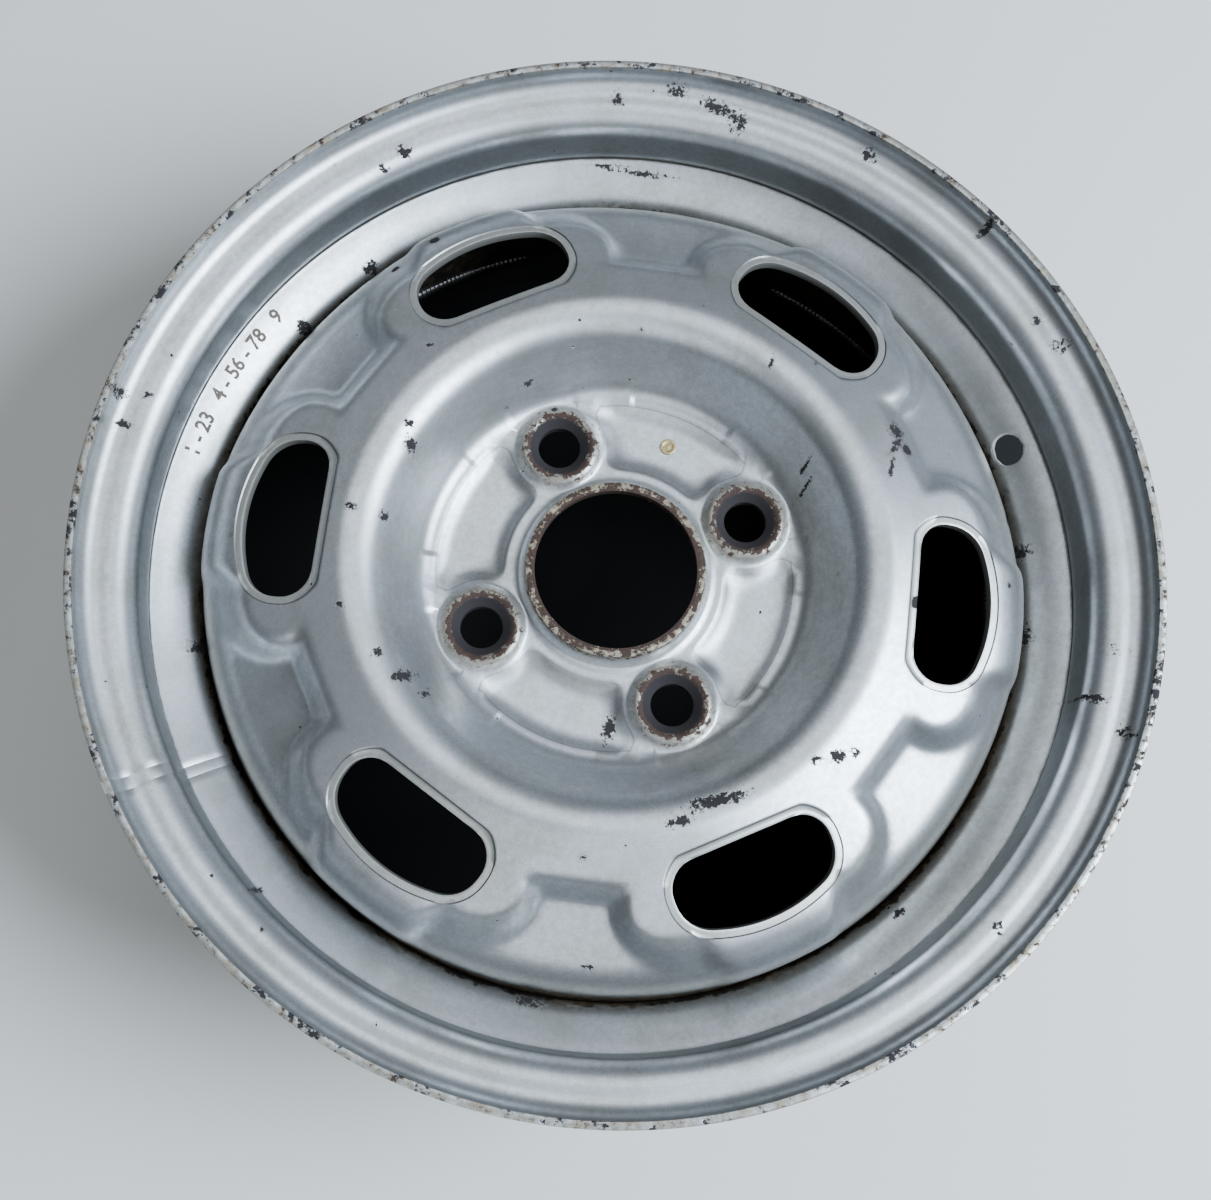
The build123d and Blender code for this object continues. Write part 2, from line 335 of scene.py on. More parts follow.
def hub_height(r, a, z):
    """Hub plate with kidney hollows and coined strips along the foot of the bowl wall.

    A hollow's depth is 2.4 mm times 1 - (1 - t)^2.2, where t grows from 0 to 1 over 7.5 mm, so that its wall
    starts sharply and levels out.
    """
    hollow = 2.4 * (1 - (1 - np.clip((inside_hollow(r, a) + 0.1) / 7.5, 0, 1)) ** 2.2)
    off_bolt = np.degrees(np.abs((a + math.pi / 4) % (math.pi / 2) - math.pi / 4))
    strip = smoothstep(62.5, 63.2, r) * (1 - smoothstep(68.6, 69.4, r))
    strip = strip * smoothstep(10.5, 11.3, off_bolt) * (1 - smoothstep(28.4, 29.2, off_bolt))
    return z - hollow + 0.45 * strip


def boss_height(gap, z):
    """Conical seat rising from the hole, a rounded crest, and a flank down to the plate."""
    cone = 4.8 + (7.6 - 4.8) * gap / 3.7
    crest = 7.8 - 0.25 * ((gap - 4.6) / 0.9) ** 2
    flank = z + 2.6 * (1 - smoothstep(4.9, 8.7, gap))
    height = np.where(gap < 3.7, cone, np.where(gap < 4.9, np.minimum(crest, 7.8), flank))
    return np.where(gap < 8.7, np.where(gap < 1e-3, 1.6, height), z)


height = np.interp(plan_r, disc_line[:len(disc_line) - 1, 0], disc_line[:len(disc_line) - 1, 1])
height[:FIRST_PLATE] = collar_rows[:, 1:2]
height = panel_height(plan_r, plan_a, height)
hub = slice(FIRST_PLATE, FIRST_VENT)
height[hub] = hub_height(plan_r[hub], plan_a[hub], height[hub])
height[hub] = boss_height(hole_gap[hub], height[hub])
height -= 0.4 * (1 - smoothstep(2.3, 2.75, vent_gap))



def mark_field(x, y, marks):
    """1 in the middle of a knock, 0 on its outline, less outside: the largest of 1 minus each one's distance.

    A knock is an ellipse given by its distance from the axis, angle, half length, half width and lean; the
    distance is counted in half lengths along it and half widths across it.
    """
    field = np.full(x.shape, -1.0)
    for r, a, half_length, half_width, lean in marks:
        t, lean = math.radians(a), math.radians(lean)
        dx, dy = x - r * math.cos(t), y - r * math.sin(t)
        out, round_ = dx * math.cos(t) + dy * math.sin(t), dy * math.cos(t) - dx * math.sin(t)
        along = round_ * math.cos(lean) + out * math.sin(lean)
        across = out * math.cos(lean) - round_ * math.sin(lean)
        field = np.maximum(field, 1 - np.hypot(along / half_length, across / half_width))
    return np.maximum(field, -1.0)


DISC_KNOCKS = [
    (87.0, 268.0, 15.0, 3.4, 8), (90.0, 259.0, 6.0, 2.2, 0), (54.0, 245.0, 3.0, 6.5, 20),
    (107.0, 3.0, 4.5, 4.0, 30), (104.0, 0.5, 2.2, 6.0, -30), (99.0, -3.5, 7.0, 1.2, 35),
    (82.0, 187.0, 3.0, 5.5, 15), (79.0, 193.0, 2.6, 2.6, 0), (86.0, 180.0, 2.2, 3.0, 0),
    (81.0, 128.0, 3.4, 3.8, 40), (85.0, 124.0, 2.0, 3.0, 0), (91.0, 147.0, 1.8, 3.2, 0),
    (80.0, 147.0, 2.4, 2.4, 0), (97.0, 294.0, 3.6, 3.0, 50), (93.0, 290.0, 2.2, 2.6, 0),
    (101.0, 297.0, 2.0, 2.6, 0), (72.0, 1.0, 5.0, 1.1, 60), (75.0, 6.0, 4.0, 1.0, 60),
    (73.0, 92.0, 4.0, 1.1, 0), (94.0, 168.0, 2.2, 2.0, 0), (112.0, 150.0, 2.4, 1.6, 0),
    (99.0, 108.0, 2.4, 1.8, 0), (88.0, 30.0, 5.0, 1.0, 70), (134.0, 243.0, 3.0, 1.6, 0)]

last_z = height[-1]
down = np.linspace(0, 1, WALL_ROWS + 1)[1:, None]
wall_z = last_z * (1 - down) + FLANGE_END * down
on_line = disc_line[disc_line[:, 0] > SHOULDER_R]
wall_line_r = np.interp(-wall_z, -on_line[:, 1], on_line[:, 0])
wall_r = SHOULDER_R + (wall_line_r - SHOULDER_R) * smoothstep(0.0, 0.3, down)
full_r = np.vstack([plan_r, wall_r])
full_a = np.vstack([plan_a, np.repeat(plan_a[-1:], WALL_ROWS, 0)])
full_z = np.vstack([height, wall_z])
disc_points = np.stack([full_r * np.cos(full_a), full_r * np.sin(full_a), full_z], -1).reshape(-1, 3)
pad = np.full((WALL_ROWS, COLUMNS), 99.0)
quads, qi, qj = grid_quads(len(full_r), COLUMNS, closed=True)
full_keep = np.vstack([keep, np.ones((WALL_ROWS, COLUMNS), bool)])
disc = new_mesh("disc_pressing", disc_points, quads[full_keep[qi, qj]],
                {"vent_gap": np.vstack([vent_gap, pad]), "hole_gap": np.vstack([hole_gap, pad]),
                 "hollow": np.vstack([inside_hollow(plan_r, plan_a), pad]),
                 "knock": mark_field(full_r * np.cos(full_a), full_r * np.sin(full_a), DISC_KNOCKS)})
finish_sheet(disc, thickness=DISC_SHEET, bevel=0.35)
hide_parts("wheel_disc")
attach(disc, "root")

# %% [markdown]
# ## The rolled hoop
#
# The hoop starts as flat strip. Rolls form the flanges that hold the tyre's beads, the tapered seats, a low
# hump that keeps the outboard bead from slipping inwards, and the well that a bead drops into while a tyre
# goes on. The grid follows the side towards the axis, which is the side that shows, and Solidify adds the
# tyre's side. The strip's two ends don't meet: the weld fills the gap.

# %% The hoop's section
HOOP_SHEET = 2.6
OFFSET = 40.0
hoop_low, hoop_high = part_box("rim_hoop")
RIM_R = round(hoop_high.x / MM, 1)
RIM_OUT, RIM_IN = round(hoop_high.z / MM, 1), round(hoop_low.z / MM, 1)
LIP = 11.5
tyre_corners = [(RIM_R, RIM_OUT), (RIM_R, RIM_OUT - LIP), (164.7, RIM_OUT - LIP), (163.26, 47.0 - OFFSET),
                (164.9, 41.0 - OFFSET), (157.0, 37.6 - OFFSET), (147.4, 31.4 - OFFSET),
                (147.4, -8.0 - OFFSET), (162.64, -40.0 - OFFSET),
                (164.7, RIM_IN + LIP), (RIM_R, RIM_IN + LIP), (RIM_R, RIM_IN)]
tyre_radii = [9.5, 6.5, 5.0, 3.6, 45.0, 8.0, 12.0, 14.0, 6.5, 9.5]


def beside(corners, radii, distance):
    """The same line of corners, moved to its right by a distance, with each arc's radius to match."""
    pts = np.array(corners, float)
    d = np.diff(pts, axis=0)
    d /= np.linalg.norm(d, axis=1)[:, None]
    right = np.stack([d[:, 1], -d[:, 0]], 1)
    cross = d[:-1, 0] * d[1:, 1] - d[:-1, 1] * d[1:, 0]
    half = cross / (1 + (d[:-1] * d[1:]).sum(1))
    middle = pts[1:-1] + distance * (right[:-1] + d[:-1] * half[:, None])
    moved = np.vstack([pts[0] + right[0] * distance, middle, pts[-1] + right[-1] * distance])
    return moved, np.asarray(radii) + distance * np.sign(cross)


air_corners, air_radii = beside(tyre_corners, tyre_radii, HOOP_SHEET)
air_line = rounded_line(air_corners, air_radii)
run = np.concatenate([[0], np.cumsum(np.linalg.norm(np.diff(air_line, axis=0), axis=1))])
bend = np.abs(np.diff(np.unwrap(np.arctan2(*np.diff(air_line, axis=0).T[::-1])), prepend=0))
bend[0] = 0
dense = np.where(run[1:] < 72.0, 0.55, 0.14)
weight = np.concatenate([[0], np.cumsum(np.diff(run) * dense + bend * 3.4)])
near_hump = np.where((air_line[:, 1] > -8.0) & (air_line[:, 1] < 7.0), air_line[:, 0], 0.0)
CREASE_RUN = float(run[np.argmax(near_hump)])
HOOP_ROWS = 122
hoop_marks = np.interp(np.linspace(0, weight[-1], HOOP_ROWS), weight, run)
print("hoop: section", round(run[-1], 1), "mm long, rows", HOOP_ROWS)

# %% [markdown]
# ## The hoop's grid and the valve hole
#
# Rows follow the section and columns go round, from one side of the weld to the other. The valve hole lies on
# the slope behind the hump, square to the sheet, so its rings are laid out on the slope as if it were flat.

# %% The hoop
HOOP_COLUMNS = 330
SEAM_AT = math.radians(183.0)
SEAM_HALF = 1.6
VALVE_AT = math.radians(-3.6)
valve = frame["record"]["mounts"][VALVE_MOUNT]
VALVE_R = valve["dims"]["r_mm"]
valve_middle = np.array([math.hypot(*valve["pos_m"][:2]), valve["pos_m"][2]]) / MM
valve_out = np.array([-math.hypot(*valve["axis"][:2]), -valve["axis"][2]])
valve_mouth = valve_middle + valve_out * HOOP_SHEET / 2
dense_run = np.arange(0.0, run[-1], 0.02)
dense_line, _ = resample(air_line, dense_run)
VALVE_RUN = float(dense_run[np.argmin(np.linalg.norm(dense_line - valve_mouth, axis=1))])


def hoop_place(distance, angle, lift=0.0):
    """A point of the air side: distance along the section, angle round the axis, and a lift off the sheet."""
    r, z = np.interp(distance, run, air_line[:, 0]), np.interp(distance, run, air_line[:, 1])
    ahead, behind = distance + 0.4, distance - 0.4
    dr = np.interp(ahead, run, air_line[:, 0]) - np.interp(behind, run, air_line[:, 0])
    dz = np.interp(ahead, run, air_line[:, 1]) - np.interp(behind, run, air_line[:, 1])
    size = np.hypot(dr, dz)
    r, z = r + dz / size * lift, z - dr / size * lift
    return np.stack([r * np.cos(angle), r * np.sin(angle), z], -1)


seam_turn = SEAM_HALF / 160.0
hoop_angles = np.linspace(SEAM_AT - TURN + seam_turn, SEAM_AT - seam_turn, HOOP_COLUMNS)
marks = hoop_marks.copy()
valve_row = int(np.argmin(np.abs(marks - VALVE_RUN)))
valve_col = int(np.argmin(np.abs(hoop_angles - VALVE_AT)))
along = np.repeat(marks[:, None], HOOP_COLUMNS, 1)
around = np.repeat(hoop_angles[None], len(marks), 0)
hoop_keep = np.ones(along.shape, bool)


def slope_place(i, j):
    """Place on the flattened slope, from the valve hole's centre."""
    s = np.interp(valve_row + i, np.arange(len(marks)), marks) - VALVE_RUN
    return s, (np.interp(valve_col + j, np.arange(HOOP_COLUMNS), hoop_angles) - VALVE_AT) * valve_mouth[0]


def valve_outline(theta):
    """The valve hole's edge: the same distance all round."""
    return np.full(np.shape(theta), VALVE_R)


HOOP_KNOCKS = [
    (173, 55, 9, 3.5, 10), (176, 60, 5, 3, 0), (170, 52, 4, 6, 0), (172, 67, 3, 4, 0),
    (157, 63, 15, 1.5, 3), (159, 68, 9, 1, 0), (168, 94, 4, 3.4, 40), (166, 97, 2.5, 2.5, 0),
    (165, 321, 2.5, 6, 0), (168, 327, 2.5, 4, 0), (176, 318, 3, 4, 0), (174, 4, 3, 5, 0),
    (172, 8, 2.5, 3.5, 0), (178, 139, 3, 3, 0), (174, 142, 2.5, 4, 0), (170, 138, 2.5, 2.5, 0),
    (147.5, 117, 3.6, 4.2, 0), (148.5, 104, 4.2, 3.4, 0), (147, 167, 3.2, 5.5, 0), (147.5, 342, 4, 4.5, 0),
    (147, 350, 3, 3.6, 0), (147.5, 330, 6, 3, 0), (147.5, 236, 7, 2.4, 0), (150, 287, 4, 2, 0),
    (171, 292, 3, 3, 0), (178, 20, 2.4, 5, 0), (176, 36, 4, 3, 0), (161, 200, 2, 2, 0)]
di, dj, x, y, distance, inside = ring_block((8, 6), (4, 3), slope_place, valve_outline, (0.0, 0.7))
at = valve_row + di, valve_col + dj
along[at] = VALVE_RUN + x
around[at] = VALVE_AT + y / valve_mouth[0]
hoop_keep[at[0][inside], at[1][inside]] = False
quads, qi, qj = grid_quads(len(marks), HOOP_COLUMNS, closed=False, inside_out=True)
hoop_xyz = hoop_place(along, around)
knocks = np.where(hoop_xyz[..., 2] > -20.0, mark_field(hoop_xyz[..., 0], hoop_xyz[..., 1], HOOP_KNOCKS), -1.0)
hoop = new_mesh("rolled_hoop", hoop_xyz.reshape(-1, 3), quads[hoop_keep[qi, qj]],
                {"knock": knocks, "crease": along - CREASE_RUN})
finish_sheet(hoop, thickness=HOOP_SHEET, bevel=0.4)
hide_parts("rim_hoop")
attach(hoop, "root")

# %% [markdown]
# ## The seam weld
#
# The strip's ends are butt welded and the flash is planed off, which leaves a band a little proud of the
# sheet, with fine marks across it. It is a short piece of the hoop's own section.

# %% The seam weld
def seam_strip():
    """The hoop's section carried across the gap, lifted by a low crown with small ripples along it."""
    across = np.linspace(-1, 1, 9)
    s = np.repeat(hoop_marks[:, None], len(across), 1)
    angle = SEAM_AT + across[None] * seam_turn * 1.25 + 0 * s
    ripple = 0.02 * np.sin(s * 2.1 + 2 * np.sin(s * 0.7)) * (1 - across[None] ** 2)
    lift = 0.10 * (1 - across[None] ** 2) - 0.02 + ripple
    quads, _, _ = grid_quads(len(hoop_marks), len(across), closed=False, inside_out=True)
    return new_mesh("seam_strip", hoop_place(s, angle, lift).reshape(-1, 3), quads,
                    {"knock": 0 * s - 1, "crease": s - CREASE_RUN})


seam = finish_sheet(seam_strip(), thickness=HOOP_SHEET + 0.1)
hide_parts("rim_seam_weld")
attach(seam, "root")

# %% [markdown]
# ## The weld beads behind the disc
#
# Six short arc welds hold the disc's flange in the hoop. An arc weld is a row of overlapping pools, so each
# bead is a half-round tube whose thickness rises and falls along its length, closed to a point at both ends.

# %% Weld beads
def weld_bead(name, node, middle, wobble):
    """A closed tube along an arc: its radius swells in ripples and shrinks to nothing at the ends."""
    low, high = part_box(node)
    t = np.linspace(-1, 1, 150)[:, None]
    ring = np.linspace(0, TURN, 17)[None, :-1]
    angle = middle + t * math.radians(10.8)
    pool = np.abs(np.sin(t * 46.0 + wobble * np.sin(3.0 * t)))
    size = (2.0 + 0.35 * pool + 0.2 * np.sin(9 * t + wobble)) * np.sqrt(np.clip(1 - t ** 8, 0, 1))
    r = FLANGE_R - 2.35 + size * np.cos(ring) * 1.02
    r = np.minimum(r, FLANGE_R)
    z = FLANGE_END - 1.9 + size * np.sin(ring) * 0.95
    points = np.stack([r * np.cos(angle), r * np.sin(angle), z + 0 * angle], -1).reshape(-1, 3)
    quads, _, _ = grid_quads(150, 16, closed=True, inside_out=True)
    far = np.full((150, 16), 99.0)
    bead = finish_sheet(new_mesh(name, points, quads, {"knock": 0 * far - 1, "crease": far}), sharp=70)
    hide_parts(node)
    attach(bead, "root")
    return bead


beads = [weld_bead(f"weld_bead_{k + 1}", f"disc_weld_{k + 1}", math.radians(30 + 60 * k), 0.6 + 0.37 * k)
         for k in range(6)]

# %% [markdown]
# ## A helper for shader nodes
#
# A shader is a small network. This helper adds one node, sets its choices, and fills each named or numbered
# input: a socket is linked, anything else becomes the input's value. Networks then read like formulas.

# %% Shader helpers
def add(tree, kind, inputs=(), out=0, **choices):
    """Adds a node to a tree, fills its inputs, and gives back one of its outputs."""
    made = tree.nodes.new("ShaderNode" + kind)
    for key, value in choices.items():
        setattr(made, key, value)
    for key, value in dict(inputs).items():
        if isinstance(value, bpy.types.NodeSocket):
            tree.links.new(value, made.inputs[key])
        else:
            made.inputs[key].default_value = value
    return made.outputs[out]


def calc(tree, operation, a, b=0.0, c=0.0, clamp=False):
    """One Math node."""
    return add(tree, "Math", {0: a, 1: b, 2: c}, operation=operation, use_clamp=clamp)


def times(tree, a, b, clamp=False):
    """One value times another."""
    return calc(tree, "MULTIPLY", a, b, clamp=clamp)


def larger(tree, a, b, clamp=False):
    """The larger of two values."""
    return calc(tree, "MAXIMUM", a, b, clamp=clamp)


def ramp(tree, value, low, high, bottom=0.0, top=1.0):
    """Smooth change from bottom to top while a value goes from low to high."""
    return add(tree, "MapRange", {"Value": value, "From Min": low, "From Max": high, "To Min": bottom,
                                  "To Max": top}, interpolation_type="SMOOTHSTEP")


def band(tree, value, low, high, soft):
    """1 between two values, with soft ends."""
    return times(tree, ramp(tree, value, low - soft, low + soft),
                ramp(tree, value, high - soft, high + soft, 1.0, 0.0))


def noise(tree, vector, scale, detail=3.0, rough=0.55, out=0):
    """Fractal noise of one scale, 0 to 1."""
    return add(tree, "TexNoise", {"Vector": vector, "Scale": scale, "Detail": detail, "Roughness": rough},
               out=out)


def mix_colour(tree, share, a, b):
    """Colour a where the share is 0, b where it is 1."""
    made = tree.nodes.new("ShaderNodeMix")
    made.data_type = "RGBA"
    for key, value in ((0, share), (6, a), (7, b)):
        if isinstance(value, bpy.types.NodeSocket):
            tree.links.new(value, made.inputs[key])
        else:
            made.inputs[key].default_value = value
    return made.outputs[2]


def new_group(name, inputs, outputs):
    """An empty shader group with named float inputs and outputs, and its two end nodes."""
    tree = bpy.data.node_groups.new(name, "ShaderNodeTree")
    for key, value in inputs.items():
        kind = "NodeSocketVector" if value is None else "NodeSocketFloat"
        socket = tree.interface.new_socket(key, in_out="INPUT", socket_type=kind)
        if value is not None:
            socket.default_value = value
    for key in outputs:
        kind = "NodeSocketVector" if key == "Place" else "NodeSocketFloat"
        tree.interface.new_socket(key, in_out="OUTPUT", socket_type=kind)
    return tree, tree.nodes.new("NodeGroupInput").outputs, tree.nodes.new("NodeGroupOutput").inputs


def use(tree, group, inputs=()):
    """Places a group in a material and gives its outputs by name."""
    made = tree.nodes.new("ShaderNodeGroup")
    made.node_tree = group
    for key, value in dict(inputs).items():
        if isinstance(value, bpy.types.NodeSocket):
            tree.links.new(value, made.inputs[key])
        else:
            made.inputs[key].default_value = value
    return made.outputs


# %% [markdown]
# ## Where on the wheel
#
# Wear on a wheel follows its shape: it goes by distance from the axis, height and angle. One group works
# these out from the object coordinates, in millimetres and degrees, and every finish below reads them.

# %% The wheel's own coordinates
where, given, result = new_group("wheel_place", {}, ["Place", "Radius", "Height", "Angle"])
place = add(where, "VectorMath", {0: add(where, "TexCoord", out=3), 1: (1000, 1000, 1000)},
            operation="MULTIPLY")
part_xyz = where.nodes.new("ShaderNodeSeparateXYZ")
where.links.new(place, part_xyz.inputs[0])
px, py, pz = part_xyz.outputs
where.links.new(place, result["Place"])
where.links.new(calc(where, "SQRT", calc(where, "MULTIPLY_ADD", px, px, times(where, py, py))),
                result["Radius"])
where.links.new(pz, result["Height"])
where.links.new(times(where, calc(where, "ARCTAN2", py, px), 180 / math.pi), result["Angle"])

# %% [markdown]
# ## Streaks, grain, chips and rust
#
# Paint on a pressing isn't even. Washing and brushing leave faint streaks round the axis, the metal flakes
# sparkle, stones knock chips off, and damp creeps under the paint and stains it. Each is one group, so that
# the disc, the hoop and the welds share it with their own amounts.

# %% Streaks round the axis
streaks, given, result = new_group("turned_streaks", {"Place": None, "Fineness": 1.6}, ["Streak"])
flat = add(streaks, "VectorMath", {0: given["Place"], 1: (1, 1, 0)}, operation="MULTIPLY")
away = add(streaks, "VectorMath", {0: flat}, operation="LENGTH", out=1)
unit = add(streaks, "VectorMath", {0: add(streaks, "VectorMath", {0: flat}, operation="NORMALIZE"),
                                   1: (6.0, 6.0, 0.0)}, operation="MULTIPLY")
lift = streaks.nodes.new("ShaderNodeSeparateXYZ")
streaks.links.new(given["Place"], lift.inputs[0])
depth = times(streaks, calc(streaks, "SUBTRACT", away, lift.outputs[2]), given["Fineness"])
depth = add(streaks, "CombineXYZ", {2: depth})
at = add(streaks, "VectorMath", {0: unit, 1: depth}, operation="ADD")
streaks.links.new(noise(streaks, at, 1.0, 4.0, 0.62), result["Streak"])

# %% Metallic grain
grain, given, result = new_group("flake_grain", {"Place": None}, ["Flake", "Mottle", "Cloud"])
grain.links.new(noise(grain, given["Place"], 2.6, 2.0, 0.7), result["Flake"])
grain.links.new(noise(grain, given["Place"], 0.42, 4.0, 0.7), result["Mottle"])
grain.links.new(noise(grain, given["Place"], 0.045, 4.0, 0.6), result["Cloud"])

# %% Stone chips
chips, given, result = new_group("stone_chips", {"Place": None, "Spacing": 14.0, "Share": 0.3, "Size": 0.16},
                                 ["Chip", "Halo"])
wobble = add(chips, "VectorMath", {0: noise(chips, given["Place"], 0.9, 3.0, 0.7, out=1), 1: (0.5, 0.5, 0.5)},
             operation="SUBTRACT")
wobble = add(chips, "VectorMath", {0: wobble, 1: (1.9, 1.9, 1.9), 2: given["Place"]},
             operation="MULTIPLY_ADD")
cells = chips.nodes.new("ShaderNodeTexVoronoi")
chips.links.new(wobble, cells.inputs["Vector"])
chips.links.new(calc(chips, "DIVIDE", 1.0, given["Spacing"]), cells.inputs["Scale"])
dice = chips.nodes.new("ShaderNodeSeparateColor")
chips.links.new(cells.outputs["Color"], dice.inputs[0])
chosen = calc(chips, "LESS_THAN", dice.outputs[0], given["Share"])
reach = times(chips, given["Size"], calc(chips, "MULTIPLY_ADD", calc(
    chips, "POWER", dice.outputs[1], 3.0), 1.0, 0.22))
inner = calc(chips, "SUBTRACT", reach, cells.outputs["Distance"])
chips.links.new(times(chips, ramp(chips, inner, -0.004, 0.006), chosen), result["Chip"])
chips.links.new(times(chips, ramp(chips, inner, -0.07, 0.01), chosen), result["Halo"])

# %% Creeping rust
creep, given, result = new_group("creeping_rust", {"Place": None, "Amount": 0.0, "Fineness": 0.35},
                                 ["Rust", "Stain"])
patchy = add(creep, "TexNoise", {"Vector": given["Place"], "Scale": given["Fineness"], "Detail": 6.0,
                                 "Roughness": 0.68})
over = calc(creep, "ADD", patchy, given["Amount"])
creep.links.new(ramp(creep, over, 0.98, 1.06), result["Rust"])
creep.links.new(ramp(creep, over, 0.74, 1.08), result["Stain"])
print("groups:", sorted(group.name for group in bpy.data.node_groups))

# %% [markdown]
# ## Silver paint
#
# The finish is a metallic silver lacquer: half mirror, half pigment, with a soft gloss. The material starts
# from clean paint, darkens it by streaks and by painted shade in crevices, gaps and on steep walls, and then
# lays stains, rust and chips over it by masks.
# Rusted and chipped places lose both the metal look and the gloss, and sit a little lower than the paint.

# %% Paint material
SILVER = (0.535, 0.55, 0.572, 1.0)
# The dull tone serves both the paint's own streaks and clouds and the painted shade in crevices.
SILVER_DULL_AND_SHADE = (0.385, 0.385, 0.35, 1.0)
# Painted shade: a near-black grey laid over faces that stand steeply.
STEEP_WALL_SHADE = (0.11, 0.115, 0.115, 1.0)
RUST_DARK = (0.010, 0.007, 0.008, 1.0)
RUST_WARM = (0.055, 0.023, 0.012, 1.0)
OCHRE = (0.14, 0.10, 0.048, 1.0)
PRIMER = (0.38, 0.33, 0.23, 1.0)
# Painted shade: near black laid into the gap round the disc, the crease, the well, the hollows and along
# pressed steps.
SHADE_LINE_DARK = (0.07, 0.06, 0.05, 1.0)


def attribute(tree, key):
    """A value stored on the mesh's points."""
    return add(tree, "Attribute", out=2, attribute_name=key)


def silver_paint(name, masks, chip_values):
    """Silver lacquer with wear and painted shade: masks(tree, at) gives named amounts made from the wheel's
    coordinates.
    """
    material = bpy.data.materials.new(name)
    material.use_nodes = True
    tree = material.node_tree
    shader = tree.nodes["Principled BSDF"]
    at = use(tree, where)
    extra = masks(tree, at)
    streak = use(tree, streaks, {"Place": at["Place"]})["Streak"]
    body = use(tree, grain, {"Place": at["Place"]})
    worn = use(tree, chips, {"Place": at["Place"], **chip_values})
    small = use(tree, chips, {"Place": at["Place"], "Spacing": 5.2, "Share": 0.14, "Size": 0.10})
    rust = use(tree, creep, {"Place": at["Place"], "Amount": extra["rust"]})
    dull_and_shade = calc(tree, "ADD", times(tree, ramp(tree, streak, 0.45, 0.75), 0.22),
                times(tree, ramp(tree, body["Cloud"], 0.4, 0.68), 0.5), clamp=True)
    # Painted shade: the masks' shade amount, for the crevice round the disc, the crease and the disc's
    # shoulder, darkens the paint towards the dull tone.
    dull_and_shade = larger(tree, dull_and_shade, extra["painted_shade"], clamp=True)
    colour = mix_colour(tree, dull_and_shade, SILVER, SILVER_DULL_AND_SHADE)
    flake = times(tree, ramp(tree, body["Flake"], 0.3, 0.7, 0.86, 1.1),
                 ramp(tree, body["Mottle"], 0.32, 0.66, 1.05, 0.88))
    colour = add(tree, "VectorMath", {0: colour, 1: flake}, operation="MULTIPLY")
    # Painted shade: the steeper a face stands, the more its colour is mixed towards the near-black grey, up
    # to half.
    upright = add(tree, "VectorMath", {0: add(tree, "TexCoord", out=1), 1: (0, 0, 1)},
                  operation="DOT_PRODUCT", out=1)
    steep_shade = ramp(tree, calc(tree, "ABSOLUTE", upright), 0.6, 0.15, 0.0, 0.5)
    colour = mix_colour(tree, steep_shade, colour, STEEP_WALL_SHADE)
    # Painted shade: the line mask mixes the paint towards near black in gaps, creases, hollows and along
    # pressed steps.
    colour = mix_colour(tree, extra["line"], colour, SHADE_LINE_DARK)
    colour = mix_colour(tree, times(tree, extra["cream"], 0.9), colour, PRIMER)
    stain = times(tree, larger(tree, rust["Stain"], extra["stain"]), 0.8)
    colour = mix_colour(tree, stain, colour, OCHRE)
    warm = mix_colour(tree, ramp(tree, body["Flake"], 0.38, 0.6), RUST_DARK, RUST_WARM)
    ragged = noise(tree, at["Place"], 0.62, 5.0, 0.72)
    knock = calc(tree, "MULTIPLY_ADD", ragged, 3.0, calc(tree, "SUBTRACT", attribute(tree, "knock"), 1.5))
    hits = larger(tree, worn["Chip"], larger(tree, small["Chip"], extra["chip"]))
    hits = larger(tree, hits, ramp(tree, knock, 0.36, 0.46))
    halo = larger(tree, times(tree, worn["Halo"], 0.35), ramp(tree, knock, 0.05, 0.5, 0.0, 0.4))
    colour = mix_colour(tree, halo, colour, OCHRE)
    colour = mix_colour(tree, rust["Rust"], colour, warm)
    colour = mix_colour(tree, hits, colour, RUST_DARK)
    lost = larger(tree, rust["Rust"], hits, clamp=True)
    tree.links.new(colour, shader.inputs["Base Color"])
    metal = times(tree, calc(tree, "SUBTRACT", 1.0, lost), calc(tree, "SUBTRACT", 0.88, calc(
        tree, "MULTIPLY", larger(tree, rust["Stain"], extra["cream"]), 0.45)), clamp=True)
    tree.links.new(metal, shader.inputs["Metallic"])
    rough = calc(tree, "ADD", times(tree, body["Mottle"], 0.16), 0.30)
    rough = larger(tree, rough, times(tree, lost, 0.82))
    tree.links.new(rough, shader.inputs["Roughness"])
    relief = times(tree, body["Mottle"], 0.05)
    relief = calc(tree, "ADD", relief, times(tree, body["Flake"], 0.03))
    relief = calc(tree, "SUBTRACT", relief, times(tree, lost, 0.12))
    bump = add(tree, "Bump", {"Height": relief, "Distance": 0.001, "Strength": 0.6})
    tree.links.new(bump, shader.inputs["Normal"])
    return material
